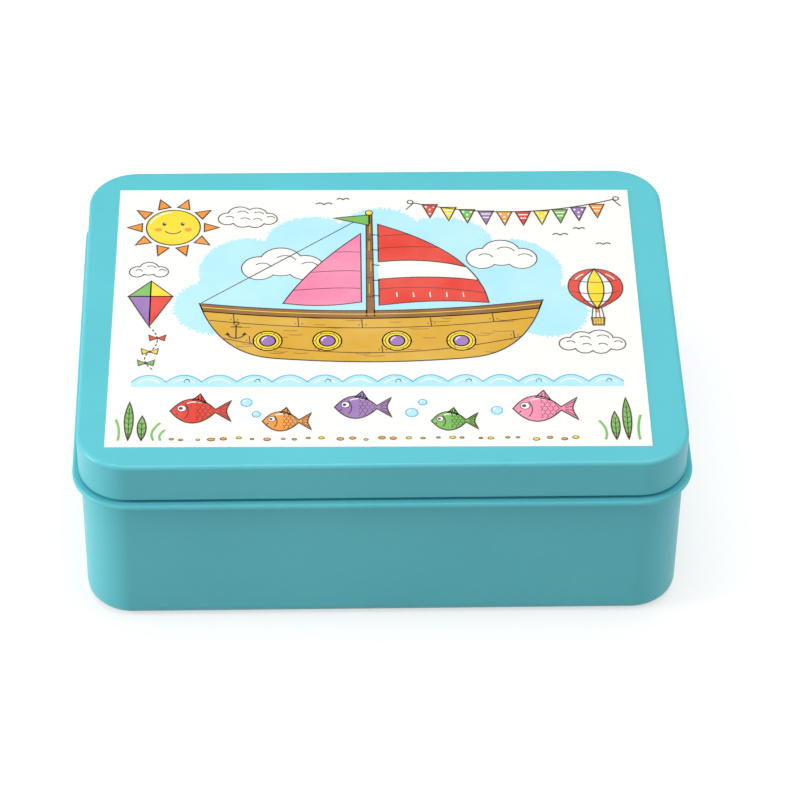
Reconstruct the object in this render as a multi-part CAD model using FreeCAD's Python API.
# Magnetic fishing game packed in a rectangular tin with a lift-off lid.
#
# The tin is two drawn sheets. The body is a tray with a rolled bead round its wall; above the bead the wall
# goes on as a neck with a hemmed rim. The lid is a shallow tray with a hemmed skirt that slips over the neck,
# lands on the rim and leaves a fine dark slot above the bead. A printed paper label is stuck on the lid, a
# little out of square. Inside lie thirteen cut-out sea animals in six stacks, each with a round magnet
# pressed into its face, and across the top of them two wooden rods with a magnet in the tip.
#
# Millimetres. X runs along the tin, Y from its front to its back, Z up. The origin is the middle of the
# underside.
import FreeCAD
import Part

import math
import os

from FreeCAD import Vector

# Tin, outside
overall_length = 123.0  # over the bead
overall_width = 93.0  # over the bead
overall_height = 42.0  # underside to the top of the lid
sheet = 0.28  # tinplate thickness
body_corner = 9.4  # outer radius of the body's upright corners
bottom_radius = 2.4  # outer radius where the wall turns into the floor
foot_width = 2.6  # flat ring that the tin stands on
panel_rise = 0.5  # how far the floor inside that ring is pressed up

# Bead and neck of the body
bead_reach = 1.73  # how far the bead stands out of the wall
bead_height = 1.2
rim_hem = 3.0  # height of the sheet folded down inside the rim

# Lid
lid_inset = 1.25  # from the bead's outermost line to the outside of the skirt
lid_corner = 10.0  # outer radius of the lid's upright corners
lid_height = 9.0  # top of the lid to the foot of its skirt
lid_edge_radius = 0.8
skirt_hem = 2.2  # height of the sheet folded up inside the skirt
skirt_clearance = 0.3  # between the skirt's hem and the neck
seat_gap = 0.1  # between the lid's inner face and the rim it sits on
slot_height = 0.55  # open line between the skirt's foot and the bead

# How finely round edges are drawn
edge_step = 22.5  # degrees from one flat to the next round a sheet's outside
fold_step = 90.0  # the same round a hem's fold
board_sag = 0.09  # how far a flat may cut into a round stretch of a board or a magnet
print_sag = 0.07  # the same for the printed picture

# Label
label_length = 107.2
label_width = 78.6
label_thickness = 0.12
label_shift_x = -0.62
label_shift_y = -0.68
label_turn = -0.55  # degrees out of square
ink_thickness = 0.04
picture_units = (107, 78)  # the label that the picture below is drawn for, in units of its own

# Cut-out sea animals
board_thickness = 4.8
animal_gap = 0.7  # kept free between neighbours and beside the wall
layer_gap = 0.1  # between one animal and the next in a stack
animal_units = 40  # side of the square that every animal below is drawn in, in units of its own
magnet_diameter = 7.0
magnet_thickness = 2.5
magnet_clearance = 0.05  # round a magnet in its blind hole

# Rods
rod_diameter = 6.0
rod_end_gap = 3.0  # from a rod's end to the wall
rod_edge = 0.6  # chamfer at a rod's butt
rod_gap = 0.4  # between the two rods where they come closest
rod_1_turn = 2.0  # degrees out of line with the tin
rod_2_turn = -1.5  # degrees too, and this rod points the other way
tip_magnet_diameter = 4.0
tip_magnet_length = 3.0

# Sizes that follow
body_half_x = overall_length / 2 - bead_reach
body_half_y = overall_width / 2 - bead_reach
lid_half_x = overall_length / 2 - lid_inset
lid_half_y = overall_width / 2 - lid_inset
neck_face = bead_reach - lid_inset - 2 * sheet - skirt_clearance  # measured out from the wall's face
skirt_foot = overall_height - lid_height
bead_radius = bead_height / 2
bead_top = skirt_foot - slot_height
bead_bottom = bead_top - bead_height
bead_nose = bead_reach - bead_radius
rim_top = overall_height - sheet - seat_gap
inner_half_x = body_half_x + min(neck_face, 0) - 2 * sheet
inner_half_y = body_half_y + min(neck_face, 0) - 2 * sheet
floor_top = panel_rise + sheet
body_panel_end = -bottom_radius - foot_width - 2 * panel_rise
lid_panel_end = -lid_edge_radius - sheet
cell_x = 2 * (inner_half_x - animal_gap) / 3
cell_y = 2 * (inner_half_y - animal_gap) / 2
animal_scale = (min(cell_x, cell_y) - animal_gap) / animal_units
layer_pitch = board_thickness + layer_gap
label_base = overall_height
ink_base = label_base + label_thickness
picture_scale = min(label_length / picture_units[0], label_width / picture_units[1])


def flats_for(radius, sweep, sag):
    """How many flats draw a round stretch, so that none cuts in deeper than the sag."""
    return max(2, math.ceil(sweep / (2 * math.acos(1 - min(sag / radius, 0.5)))))


def round_stretch(x, y, radius, start, sweep, flats):
    """Points along an arc about (x, y), angles in radians."""
    steps = [start + sweep * n / flats for n in range(flats + 1)]
    return [(x + radius * math.cos(angle), y + radius * math.sin(angle)) for angle in steps]


def face_on_floor(points):
    corners = [Vector(x, y, 0) for x, y in points]
    return Part.Face(Part.makePolygon(corners + corners[:1]))


def section_face(points):
    """The face of a sheet's section. A point is (out from the wall's outer face, height)."""
    corners = [Vector(out, 0, up) for out, up in points]
    return Part.Face(Part.makePolygon(corners + corners[:1]))


def turn_of_sheet(out, up, radius, start, sweep, step):
    """A round stretch of a section, angles in degrees from outward towards up."""
    flats = math.ceil(abs(sweep) / step - 1e-6)
    return round_stretch(out, up, radius, math.radians(start), math.radians(sweep), flats)


def body_section():
    """The body's sheet: floor, bottom radius, wall, rolled bead, neck and the hem inside the rim."""
    mid_bead = (bead_top + bead_bottom) / 2
    fold = (neck_face - sheet, rim_top - sheet)
    foot = -bottom_radius - foot_width
    return section_face(
        [(body_panel_end, panel_rise), (foot, 0)]
        + turn_of_sheet(-bottom_radius, bottom_radius, bottom_radius, -90, 90, edge_step)
        + [(0, bead_bottom)]
        + turn_of_sheet(bead_nose, mid_bead, bead_radius, -90, 180, edge_step)
        + [(neck_face, bead_top)]
        + turn_of_sheet(*fold, sheet, 0, 180, fold_step)
        + [(neck_face - 2 * sheet, rim_top - rim_hem), (neck_face - sheet, rim_top - rim_hem)]
        + [(neck_face - sheet, bead_top - sheet)]
        + turn_of_sheet(bead_nose, mid_bead, bead_radius - sheet, 90, -180, 2 * edge_step)
        + [(-sheet, bead_bottom + sheet)]
        + turn_of_sheet(-bottom_radius, bottom_radius, bottom_radius - sheet, 0, -90, edge_step)
        + [(foot, sheet), (body_panel_end, floor_top)]
    )


def lid_section():
    """The lid's sheet: panel, rounded edge, skirt and the hem folded up inside it."""
    turn_up = overall_height - lid_edge_radius
    return section_face(
        [(lid_panel_end, overall_height)]
        + turn_of_sheet(-lid_edge_radius, turn_up, lid_edge_radius, 90, -90, edge_step)
        + turn_of_sheet(-sheet, skirt_foot + sheet, sheet, 0, -180, fold_step)
        + [(-2 * sheet, skirt_foot + skirt_hem), (-sheet, skirt_foot + skirt_hem)]
        + turn_of_sheet(-lid_edge_radius, turn_up, lid_edge_radius - sheet, 0, 90, edge_step)
        + [(lid_panel_end, overall_height - sheet)]
    )


def drawn_tray(section, half_x, half_y, corner, panel_end, panel_low):
    """A rectangular tray with round corners: the section swept along each side, turned about each corner,
    and joined to the flat panel in the middle."""
    straight_x = half_x - corner
    straight_y = half_y - corner
    z_axis = Vector(0, 0, 1)
    pieces = []
    for turn, along, reach, side in (
        (0, straight_y, half_x, straight_x),
        (90, straight_x, half_y, straight_y),
        (180, straight_y, half_x, straight_x),
        (270, straight_x, half_y, straight_y),
    ):
        wall = section.translated(Vector(reach, -along, 0)).extrude(Vector(0, 2 * along, 0))
        bend = section.translated(Vector(corner, 0, 0)).revolve(Vector(), z_axis, 90)
        bend.translate(Vector(side, along, 0))
        for piece in (wall, bend):
            piece.rotate(Vector(), z_axis, turn)
            pieces.append(piece)
    panel = rounded_plate(half_x + panel_end, half_y + panel_end, corner + panel_end, sheet)
    panel.translate(Vector(0, 0, panel_low))
    return panel.multiFuse(pieces).removeSplitter()


def rounded_plate(half_x, half_y, corner, thickness):
    """A flat plate with round corners, on the XY plane."""
    plate = Part.makeBox(2 * half_x, 2 * half_y, thickness, Vector(-half_x, -half_y, 0))
    uprights = [e for e in plate.Edges if abs(e.Vertexes[0].Z - e.Vertexes[-1].Z) > thickness / 2]
    return plate.makeFillet(corner, uprights)


def disc(x, y, radius, sag):
    return face_on_floor(round_stretch(x, y, radius, 0, 2 * math.pi, flats_for(radius, 2 * math.pi, sag))[1:])


def limb(x1, y1, r1, x2, y2, r2, sag):
    """The flat shape round two circles and their outer tangents: a body, an arm, a tail or a fin."""
    span = math.hypot(x2 - x1, y2 - y1)
    if span <= abs(r1 - r2) + 1e-6:
        return disc(x1, y1, r1, sag) if r1 >= r2 else disc(x2, y2, r2, sag)
    heading = math.atan2(y2 - y1, x2 - x1)
    spread = math.acos((r1 - r2) / span)
    back = 2 * (math.pi - spread)
    points = round_stretch(x1, y1, r1, heading + spread, back, flats_for(r1, back, sag))
    points += round_stretch(x2, y2, r2, heading - spread, 2 * spread, flats_for(r2, 2 * spread, sag))
    return face_on_floor(points)


def joined(faces):
    """One flat shape from several that overlap."""
    if len(faces) == 1:
        return faces[0]
    return faces[0].multiFuse(faces[1:]).removeSplitter()


def mirrored(rows):
    """The rows of limbs and their mirror images across the Y axis."""
    return rows + [(-x1, y1, r1, -x2, y2, r2) for x1, y1, r1, x2, y2, r2 in rows]


def flipped(rows):
    """The rows of limbs and their mirror images across the X axis."""
    return rows + [(x1, -y1, r1, x2, -y2, r2) for x1, y1, r1, x2, y2, r2 in rows]


def spokes(count, first, hub_radius, reach, tip_radius, x=0.0, y=0.0, step=None):
    """Limbs that fan out from one hub, in degrees from +X."""
    step = 360.0 / count if step is None else step
    rows = []
    for n in range(count):
        angle = math.radians(first + n * step)
        tip_x = x + reach * math.cos(angle)
        tip_y = y + reach * math.sin(angle)
        rows.append((x, y, hub_radius, tip_x, tip_y, tip_radius))
    return rows


# Each animal as limbs (x, y, radius to x, y, radius) and the place of its magnet, in the drawn square.
def octopus():
    arms = mirrored([(-4, -2, 5.0, -14.5, -8, 4.2), (-3, -4, 5.0, -8, -14.5, 4.0)])
    return [(0, 5, 12.5, 0, 7, 12.0), (0, -4, 5.0, 0, -15.5, 4.0)] + arms, (0, 9)


def crab():
    sides = mirrored([
        (-10, 0, 4.0, -14.5, 7, 3.4),
        (-14, 11.5, 5.0, -11.5, 13.5, 4.0),
        (-11, -5, 3.6, -16, -11, 2.8),
        (-7, -9, 3.6, -10, -15.5, 2.8),
    ])
    return [(-6, -2.5, 9.8, 6, -2.5, 9.8)] + sides, (0, -2)


def starfish():
    return spokes(5, 90, 8.0, 14.8, 4.2), (0, 0)


def seahorse():
    return [
        (2, 12, 6.2, -8.5, 10.5, 3.0),
        (2.5, 11, 5.6, 5, 3.5, 7.0),
        (5, 3, 7.6, 3, -6, 5.6),
        (3, -6, 5.2, -1, -13, 4.2),
        (-1, -13.5, 4.0, -7, -14.5, 3.4),
        (-7, -14.5, 3.3, -9.5, -10.5, 3.0),
        (9, 6, 3.6, 12, 1, 3.8),
    ], (5, 2)


def turtle():
    flippers = flipped([(-8, 7, 4.0, -12, 13.5, 3.6), (6, 8, 4.0, 9.5, 14.5, 3.6)])
    shell_and_head = [(-3, 0, 11.2, 3, 0, 11.0), (10, 0, 4.8, 14, 0, 4.9)]
    return shell_and_head + [(-13, 0, 3.0, -16, 0, 2.7)] + flippers, (0, 0)


def whale():
    return [
        (-6, -1, 12.2, 5, -2, 8.0),
        (5, -1, 6.6, 13, 5, 3.4),
        (13, 5.5, 3.2, 15.5, 10.5, 2.8),
        (12.5, 6, 3.0, 8.5, 10.5, 2.7),
        (-5, -10, 3.4, -1, -15, 2.8),
        (-7, 10, 2.6, -7, 14.5, 2.8),
    ], (-3, -1)


def jellyfish():
    strands = mirrored([(-9, 1, 3.4, -10.5, -13, 3.2), (-3, 1, 3.4, -3.6, -16, 3.2)])
    return [(-3.5, 6, 11.5, 3.5, 6, 11.4)] + strands, (0, 8)


def scallop():
    return spokes(5, 30, 5.0, 16.5, 4.6, 0, -6, 30) + [(-5, -12, 3.6, 5, -12, 3.5)], (0, 0)


def round_fish():
    tail = flipped([(9, 0, 4.0, 15.5, 7, 3.3)])
    return [(-4, 0, 12.6, 5, 0, 7.6), (-4, 11, 3.6, 2, 13, 3.0)] + tail, (-2, 0)


def long_fish():
    tail = flipped([(10, 0, 3.8, 16, 6, 3.0)])
    return [(-10, 0, 8.4, 5, 0, 6.2), (-6, 6, 4.0, 1, 10.5, 3.0), (-4, -6, 3.6, 1, -10, 2.8)] + tail, (-4, 0)


def tall_fish():
    fins = flipped([(-1, 8, 4.0, 6, 15.5, 3.0)])
    tail = flipped([(10, 0, 3.6, 15.5, 4.5, 3.0)])
    return [(-5, 0, 10.6, 2, 0, 9.4)] + fins + tail, (-2, 0)


def dolphin():
    return [
        (-6, 3, 7.8, 5, 2, 6.4),
        (-11, 1, 4.2, -16, -0.5, 2.9),
        (0, 8, 3.4, 4, 13, 2.7),
        (-4, -3, 3.4, -1, -9, 2.7),
        (6, 1, 5.4, 13, -6, 3.2),
        (13.5, -6, 3.0, 17, -3, 2.7),
        (13, -7, 3.0, 13, -12, 2.7),
    ], (-3, 3)


def puffer_fish():
    tail = flipped([(10, 0, 3.8, 15, 4.5, 3.0)])
    fins = flipped([(-3, 11.5, 2.8, 0, 15, 2.7)])
    return [(-2.5, 0, 13.0, -1, 0, 12.9)] + tail + fins, (-1, 0)


# Where the animals lie: drawing, column and row of the stack, level in it, and turn in degrees.
PACKING = (
    ("long_fish", long_fish, 0, 0, 0, 6),
    ("dolphin", dolphin, 1, 0, 0, -4),
    ("scallop", scallop, 2, 0, 0, 5),
    ("tall_fish", tall_fish, 0, 1, 0, -6),
    ("puffer_fish", puffer_fish, 1, 1, 0, 3),
    ("jellyfish", jellyfish, 2, 1, 0, -5),
    ("crab", crab, 0, 0, 1, -4),
    ("starfish", starfish, 1, 0, 1, 9),
    ("whale", whale, 2, 0, 1, 4),
    ("octopus", octopus, 0, 1, 1, 5),
    ("turtle", turtle, 1, 1, 1, -8),
    ("seahorse", seahorse, 2, 1, 1, 6),
    ("round_fish", round_fish, 2, 0, 2, -12),
)


def lay_down(shape, column, row, level, turn):
    """Moves a shape from the drawn square to its place in the tin."""
    shape.rotate(Vector(), Vector(0, 0, 1), turn)
    shape.translate(Vector((column - 1) * cell_x, (row - 0.5) * cell_y, floor_top + level * layer_pitch))
    return shape


def round_prism(diameter, height, clearance=0.0):
    """An upright disc, or the hole for it: a clearance all round and as many flats as the disc has."""
    flats = flats_for(diameter / 2, 2 * math.pi, board_sag)
    ring = round_stretch(0, 0, diameter / 2 + clearance, 0, 2 * math.pi, flats)[1:]
    return face_on_floor(ring).extrude(Vector(0, 0, height))


def sea_animals():
    """Each animal's board with its blind hole, and the magnet in it."""
    nodes = {}
    for name, draw, column, row, level, turn in PACKING:
        rows, (spot_x, spot_y) = draw()
        limbs = [limb(*(animal_scale * value for value in limb_row), board_sag) for limb_row in rows]
        outline = joined(limbs)
        board = outline.extrude(Vector(0, 0, board_thickness))
        spot = Vector(animal_scale * spot_x, animal_scale * spot_y, board_thickness - magnet_thickness)
        pocket = round_prism(magnet_diameter, magnet_thickness, magnet_clearance).translated(spot)
        magnet = round_prism(magnet_diameter, magnet_thickness).translated(spot)
        nodes[name] = lay_down(board.cut(pocket), column, row, level, turn)
        nodes[name + "_magnet"] = lay_down(magnet, column, row, level, turn)
    return nodes


def rod_and_magnet(length):
    """A dowel along X with a chamfered butt and a magnet let into its tip."""
    radius = rod_diameter / 2
    dowel = Part.makeCylinder(radius, length, Vector(-length / 2, 0, 0), Vector(1, 0, 0))
    butt = [e for e in dowel.Edges if e.isClosed() and e.Vertexes[0].X < 0]
    dowel = dowel.makeChamfer(rod_edge, butt)
    pieces = []
    for clearance in (magnet_clearance, 0.0):
        piece = round_prism(tip_magnet_diameter, tip_magnet_length, clearance)
        piece.rotate(Vector(), Vector(0, 1, 0), 90)
        piece.translate(Vector(length / 2 - tip_magnet_length, 0, 0))
        pieces.append(piece)
    pocket, magnet = pieces
    return dowel.cut(pocket), magnet


def rods(top):
    """Two rods side by side, a little askew, tip beside butt, on top of the back row of animals."""
    length = 2 * (inner_half_x - rod_end_gap)
    swing_1, swing_2 = [length / 2 * abs(math.tan(math.radians(turn))) for turn in (rod_1_turn, rod_2_turn)]
    y_2 = animal_gap + swing_2 + rod_diameter / 2
    y_1 = y_2 + swing_2 + rod_diameter + rod_gap + swing_1
    nodes = {}
    for name, y, turn in (("rod_1", y_1, rod_1_turn), ("rod_2", y_2, 180 + rod_2_turn)):
        for node, piece in zip((name, name + "_magnet"), rod_and_magnet(length)):
            piece.rotate(Vector(), Vector(0, 0, 1), turn)
            piece.translate(Vector(0, y, top + rod_diameter / 2))
            nodes[node] = piece
    return nodes


def on_label(face, height, thickness):
    """Puts a flat shape drawn about the label's middle on the lid, as thick as asked."""
    solid = face.extrude(Vector(0, 0, thickness))
    solid.rotate(Vector(), Vector(0, 0, 1), label_turn)
    solid.translate(Vector(label_shift_x, label_shift_y, height))
    return solid


def label():
    half_x = label_length / 2
    half_y = label_width / 2
    sheet_face = face_on_floor([(-half_x, -half_y), (half_x, -half_y), (half_x, half_y), (-half_x, half_y)])
    return on_label(sheet_face, label_base, label_thickness)


def bent(start, pull, end, flats):
    """Points of a curve from start to end, drawn towards pull; the end point is left to the next stretch."""
    points = []
    for n in range(flats):
        t = n / flats
        shares = ((1 - t) ** 2, 2 * t * (1 - t), t ** 2)
        points.append(tuple(sum(s * p[k] for s, p in zip(shares, (start, pull, end))) for k in (0, 1)))
    return points


def field(points):
    """A flat field of the picture, from points on the drawn label."""
    return face_on_floor([(picture_scale * x, picture_scale * y) for x, y in points])


def spot(x, y, r):
    return disc(picture_scale * x, picture_scale * y, picture_scale * r, print_sag)


def puffs(*rows):
    """A cloud of discs."""
    return joined([spot(*row) for row in rows])


def lens(x, low, high, half_width, flats):
    """An upright shape with two bulging sides that meet in points."""
    right = bent((x, high), (x + 2 * half_width, (low + high) / 2), (x, low), flats)
    left = bent((x, low), (x - 2 * half_width, (low + high) / 2), (x, high), flats)
    return field(right + left)


def wave(x, y, length, height, count):
    """A strip with a scalloped top."""
    width = length / count
    points = [(x + length, y), (x, y)]
    for n in range(count):
        left = x + n * width
        crest = (left + width / 2, y + 1.6 * height)
        points += bent((left, y + 0.4 * height), crest, (left + width, y + 0.4 * height), 4)
    return field(points + [(x + length, y + 0.4 * height)])


def small_fish(x, y, size):
    """A fish that swims to the left: a lens of a body and a forked tail."""
    nose = (x - size, y)
    root = (x + 0.55 * size, y)
    back, belly = [(x - 0.3 * size, y + side * 1.15 * size) for side in (1, -1)]
    body = bent(nose, back, root, 6) + bent(root, belly, nose, 6)
    tail = [(x + 0.4 * size, y), (x + size, y + 0.5 * size), (x + 0.85 * size, y), (x + size, y - 0.5 * size)]
    return joined([field(body), field(tail)])


def sky():
    """Puffs of blue behind the boat, with two clouds left bare in them."""
    around = puffs(
        (-33, 2, 8), (-26, 13, 10), (-13, 20, 10), (1, 24, 9),
        (14, 19, 11), (27, 12, 11), (35, 1, 8), (-8, 4, 17.5), (8, 4, 17.5),
    )
    return [
        ("blue", around),
        ("bare", puffs((-24, 14, 3.6), (-19.5, 16, 4.4), (-14.5, 14.2, 3.8))),
        ("bare", puffs((22, 17, 3.2), (26, 18.8, 4.0), (30.2, 17, 3.2))),
    ]


def boat():
    """A sailing boat: hull with a rail and portholes, mast, two sails and a pennant."""
    bow, stern, rail_bow, rail_stern = (-36, 3), (34, 4), (-35.2, 0.6), (33.2, 1.4)
    deck = bent(bow, (0, -2), stern, 8)
    hull = deck + bent(stern, (30, -12), (19, -13.4), 7) + bent((19, -13.4), (-1, -16), (-22, -13.4), 7)
    hull += bent((-22, -13.4), (-32, -11.5), bow, 7)
    rail = deck + [stern] + bent(rail_stern, (0, -4.2), rail_bow, 8) + [rail_bow]
    fields = [("mustard", field(hull)), ("brown", field(rail))]
    for x in (-22, -10, 4, 17):
        fields += [("yellow", spot(x, -8.4, 2.9)), ("violet", spot(x, -8.4, 1.6))]
    mast = [(-2.0, -1), (-0.4, -1), (-0.6, 31), (-1.8, 31)]
    main_sail = bent((0.6, 28), (21, 19), (23, 3.2), 8) + bent((23, 3.2), (12, 4.5), (0.6, 2.4), 3)
    main_sail += [(0.6, 2.4)]
    stripe = bent((0.6, 16), (11, 17.5), (19.6, 14), 4) + bent((19.6, 14), (22, 11), (21.8, 10), 2)
    stripe += bent((21.8, 10), (12, 12), (0.6, 10.5), 4) + [(0.6, 10.5)]
    jib = bent((-3.0, 25), (-14, 14), (-19, 3.0), 6) + bent((-19, 3.0), (-11, 1.5), (-3.0, 3.4), 3)
    jib += [(-3.0, 3.4)]
    return fields + [
        ("brown", field(mast)),
        ("red", field(main_sail)),
        ("bare", field(stripe)),
        ("pink", field(jib)),
        ("green", field([(-1.2, 31), (-1.2, 27.6), (-8.6, 30)])),
    ]


def sun(x, y, size, rays):
    """A round sun with pointed rays."""
    fields = []
    for n in range(rays):
        angle = 2 * math.pi * n / rays
        ray = [
            (x + size * reach * math.cos(angle + aside), y + size * reach * math.sin(angle + aside))
            for reach, aside in ((1.18, -0.2), (1.7, 0), (1.18, 0.2))
        ]
        fields.append(("orange", field(ray)))
    return fields + [("yellow", spot(x, y, size))]


def bunting(x, y, pitch, count):
    """Flags on a string that sags."""
    colours = ("red", "yellow", "green", "violet", "orange")
    fields = []
    for n in range(count):
        left = x + pitch * n
        drop = y + 0.12 * (n - (count - 1) / 2) ** 2
        flag = [(left, drop), (left + 0.82 * pitch, drop), (left + 0.41 * pitch, drop - 1.13 * pitch)]
        fields.append((colours[n % len(colours)], field(flag)))
    return fields


def balloon(x, y, size):
    """A striped hot-air balloon with its basket."""
    foot = y - 1.2 * size
    bag = limb(*(picture_scale * v for v in (x, y, size, x, y - size, 0.2 * size)), print_sag)
    basket = [(x - 0.24 * size, foot - 0.5 * size), (x + 0.24 * size, foot - 0.5 * size)]
    basket += [(x + 0.2 * size, foot - 0.9 * size), (x - 0.2 * size, foot - 0.9 * size)]
    return [
        ("red", bag),
        ("bare", lens(x, foot, y + size, 0.62 * size, 7)),
        ("yellow", lens(x, foot, y + size, 0.3 * size, 5)),
        ("brown", field(basket)),
    ]


def kite(x, y, width, height):
    """A kite of four colours with its cross a little above the middle."""
    cross = (x, y + 0.16 * height)
    tips = [(x, y + height / 2), (x + width / 2, cross[1]), (x, y - height / 2), (x - width / 2, cross[1])]
    colours = ("green", "yellow", "red", "violet")
    return [(colour, field([cross, tips[n], tips[n - 1]])) for n, colour in enumerate(colours)]


def sea_bed():
    """Waves, fish, bubbles and weed along the lower edge."""
    fields = [("blue", wave(-49, -22, 98, 3.4, 14))]
    for x, y, size, colour in (
        (-35, -29, 6.0, "red"),
        (-18, -32, 4.8, "orange"),
        (-3, -28, 5.6, "violet"),
        (15, -32, 4.6, "green"),
        (33, -28.5, 6.4, "pink"),
    ):
        fields.append((colour, small_fish(x, y, size)))
    for x, height in ((-49, 11), (-46.4, 7), (46.6, 8), (49, 12)):
        fields.append(("green", lens(x, -37.4, height - 37.4, 0.85, 4)))
    for x, y, radius in (
        (-26, -26.6, 1.1), (-24, -30, 0.8), (6.6, -29.6, 1.2), (8.8, -26.6, 0.8), (23.4, -29, 1.1)
    ):
        fields.append(("blue", spot(x, y, radius)))
    return fields


def picture():
    """The printed picture as fields of colour, lowest first. What is bare shows the paper."""
    fields = sky() + boat() + sun(-42, 27, 5.6, 10) + bunting(10, 32, 3.9, 10)
    return fields + balloon(45, 8, 5.6) + kite(-46, 3, 9, 14) + sea_bed()


def printing():
    """The inks, one node for each colour. A field is cut away wherever a later one covers it."""
    fields = picture()
    showing = []
    for n, (colour, face) in enumerate(fields):
        for _, later in fields[n + 1:]:
            face = face.cut(later)
        showing.append((colour, face))
    nodes = {}
    for colour in sorted({colour for colour, _ in showing} - {"bare"}):
        faces = [f for c, shape in showing if c == colour for f in shape.Faces]
        nodes["print_" + colour] = Part.makeCompound([on_label(f, ink_base, ink_thickness) for f in faces])
    return nodes


def build():
    nodes = {
        "tin_body": drawn_tray(
            body_section(), body_half_x, body_half_y, body_corner, body_panel_end, panel_rise
        ),
        "tin_lid": drawn_tray(
            lid_section(), lid_half_x, lid_half_y, lid_corner, lid_panel_end, overall_height - sheet
        ),
        "lid_label": label(),
    }
    nodes.update(printing())
    nodes.update(sea_animals())
    nodes.update(rods(floor_top + 2 * layer_pitch))
    return nodes


os.makedirs("parts", exist_ok=True)
for node_name, node_shape in build().items():
    node_shape.exportStep("parts/" + node_name + ".step")
    print(node_name, len(node_shape.Solids), round(node_shape.Volume, 2), node_shape.isValid())
